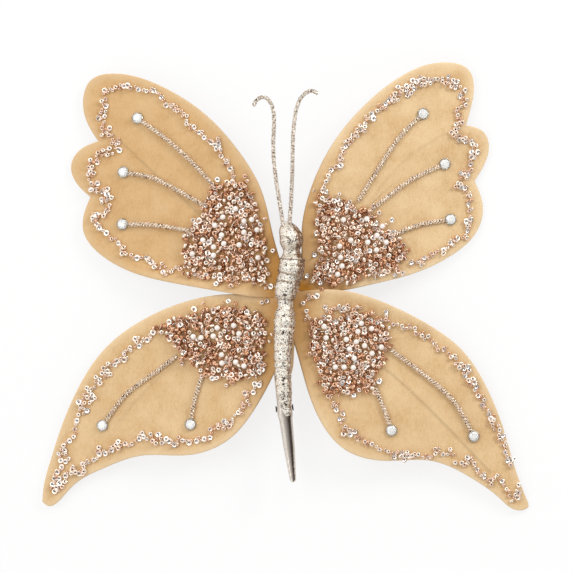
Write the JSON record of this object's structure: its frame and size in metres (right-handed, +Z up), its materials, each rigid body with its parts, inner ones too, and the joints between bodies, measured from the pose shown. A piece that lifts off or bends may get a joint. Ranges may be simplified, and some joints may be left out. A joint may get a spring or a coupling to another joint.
{
  "type": "butterfly ornament",
  "caption": "Clip-on fabric butterfly with wired, bead-trimmed wings that bend at the body and a sprung crocodile clip under its tail.",
  "frame": {"origin": "on the table, under the middle of the whole object's box", "axes": "+Z up out of the wings' upper faces, +Y towards the head, +X to the right seen from above with the head up"},
  "size_m": [0.183, 0.1684, 0.0263],
  "materials": {
    "velvet": "soft velvet",
    "interlining": "plain",
    "backing": "plain",
    "wire": "drawn",
    "sequins": "metallic film",
    "beads": "lined glass look",
    "pearls": "pearl",
    "veins": "glitter",
    "gems": "foiled crystal",
    "foam": "foam",
    "glitter_wrap": "glitter",
    "thread": "metallic",
    "felt": "felt",
    "nickel": "plated",
    "spring_steel": "drawn",
    "glue": "hot glue"
  },
  "bodies": {
    "body": {"body_core": "foam", "body_sleeve": "glitter_wrap", "binding_thread": "thread", "antenna_wire_left": "wire", "antenna_wire_right": "wire", "antenna_wrap_left": "glitter_wrap", "antenna_wrap_right": "glitter_wrap", "belly_strip": "felt", "wing_wire_tails": "wire", "clip_upper_half": "nickel", "clip_pin": "nickel", "clip_spring": "spring_steel", "clip_glue": "glue"},
    "clip_lever": {"clip_lower_half": "nickel"},
    "left_wings": {"left_forewing_front_fabric": "velvet", "left_forewing_interlining": "interlining", "left_forewing_back_fabric": "backing", "left_forewing_wire": "wire", "left_forewing_sequins": "sequins", "left_forewing_beads": "beads", "left_forewing_pearls": "pearls", "left_forewing_veins": "veins", "left_forewing_gems": "gems", "left_hindwing_front_fabric": "velvet", "left_hindwing_interlining": "interlining", "left_hindwing_back_fabric": "backing", "left_hindwing_wire": "wire", "left_hindwing_sequins": "sequins", "left_hindwing_beads": "beads", "left_hindwing_pearls": "pearls", "left_hindwing_veins": "veins", "left_hindwing_gems": "gems"},
    "right_wings": {"right_forewing_front_fabric": "velvet", "right_forewing_interlining": "interlining", "right_forewing_back_fabric": "backing", "right_forewing_wire": "wire", "right_forewing_sequins": "sequins", "right_forewing_beads": "beads", "right_forewing_pearls": "pearls", "right_forewing_veins": "veins", "right_forewing_gems": "gems", "right_hindwing_front_fabric": "velvet", "right_hindwing_interlining": "interlining", "right_hindwing_back_fabric": "backing", "right_hindwing_wire": "wire", "right_hindwing_sequins": "sequins", "right_hindwing_beads": "beads", "right_hindwing_pearls": "pearls", "right_hindwing_veins": "veins", "right_hindwing_gems": "gems"}
  },
  "joints": [
    {"name": "clip_jaw", "type": "hinge", "parent": "body", "child": "clip_lever", "pos_m": [-0.00037, -0.04565, 0.00878], "axis": [0.993, 0.1184, 0], "range_deg": [0, 20], "stiffness_Nm_per_rad": 0.05, "springref_deg": -45.84, "deforming": ["clip_spring"]},
    {"name": "left_wings_bend", "type": "hinge", "parent": "body", "child": "left_wings", "pos_m": [-0.00299, 0.00022, 0.01364], "axis": [0.0558, 0.9984, 0], "range_deg": [-10, 40]},
    {"name": "right_wings_bend", "type": "hinge", "parent": "body", "child": "right_wings", "pos_m": [0.00499, -0.00022, 0.01364], "axis": [-0.0558, -0.9984, 0], "range_deg": [-10, 40]}
  ]
}
